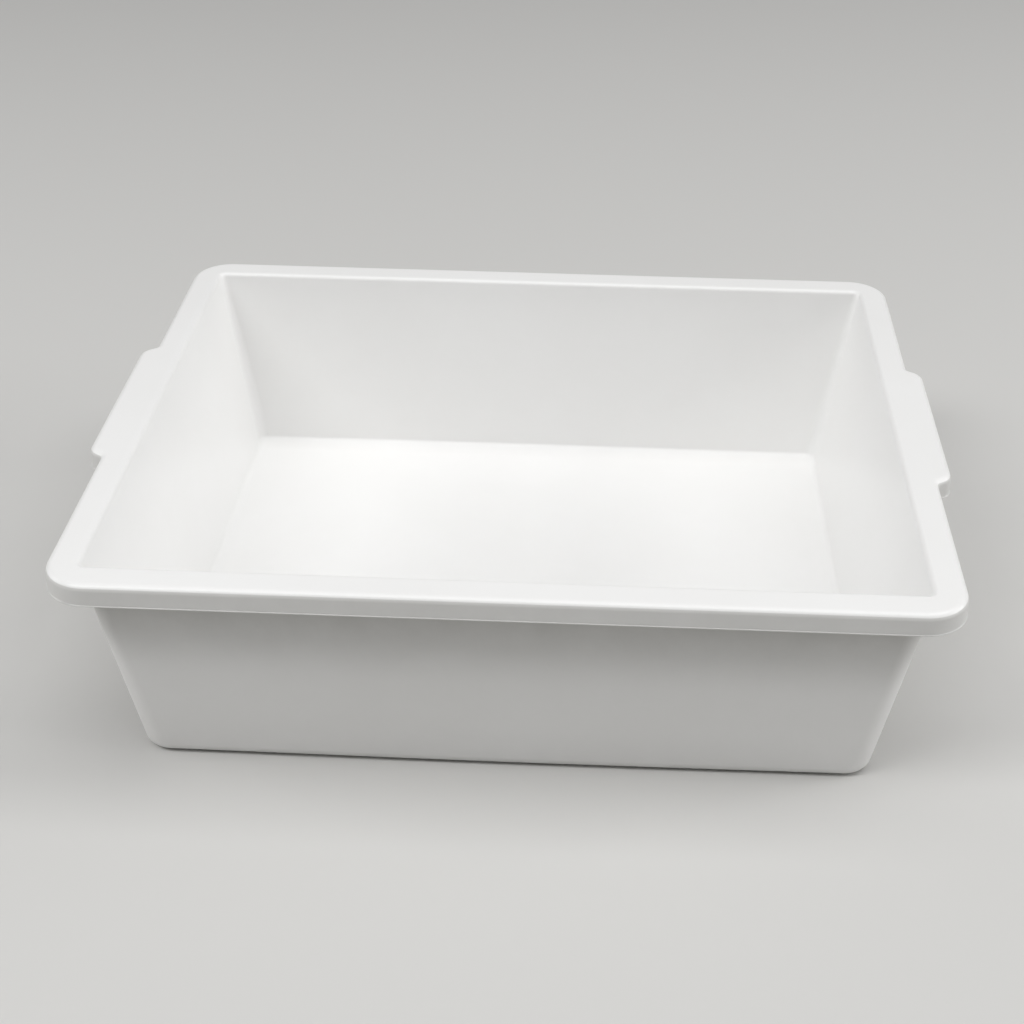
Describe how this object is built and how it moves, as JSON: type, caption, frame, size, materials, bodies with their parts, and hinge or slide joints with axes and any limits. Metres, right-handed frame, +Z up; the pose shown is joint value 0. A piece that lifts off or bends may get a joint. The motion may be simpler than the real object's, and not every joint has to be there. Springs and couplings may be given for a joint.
{
  "type": "photographic developing tray",
  "caption": "Deep rectangular open tray with tapered walls, a flat floor and a wide flat rim with a turned-down skirt and a grip tab at each short end.",
  "frame": {"origin": "on the surface the tray stands on, under the middle of its base", "axes": "+Z up, +X along the tray's length from one grip tab to the other, +Y along its width"},
  "size_m": [0.52, 0.4276, 0.1355],
  "materials": {
    "white_plastic": "satin"
  },
  "bodies": {
    "root": {"tray": "white_plastic"}
  },
  "joints": []
}
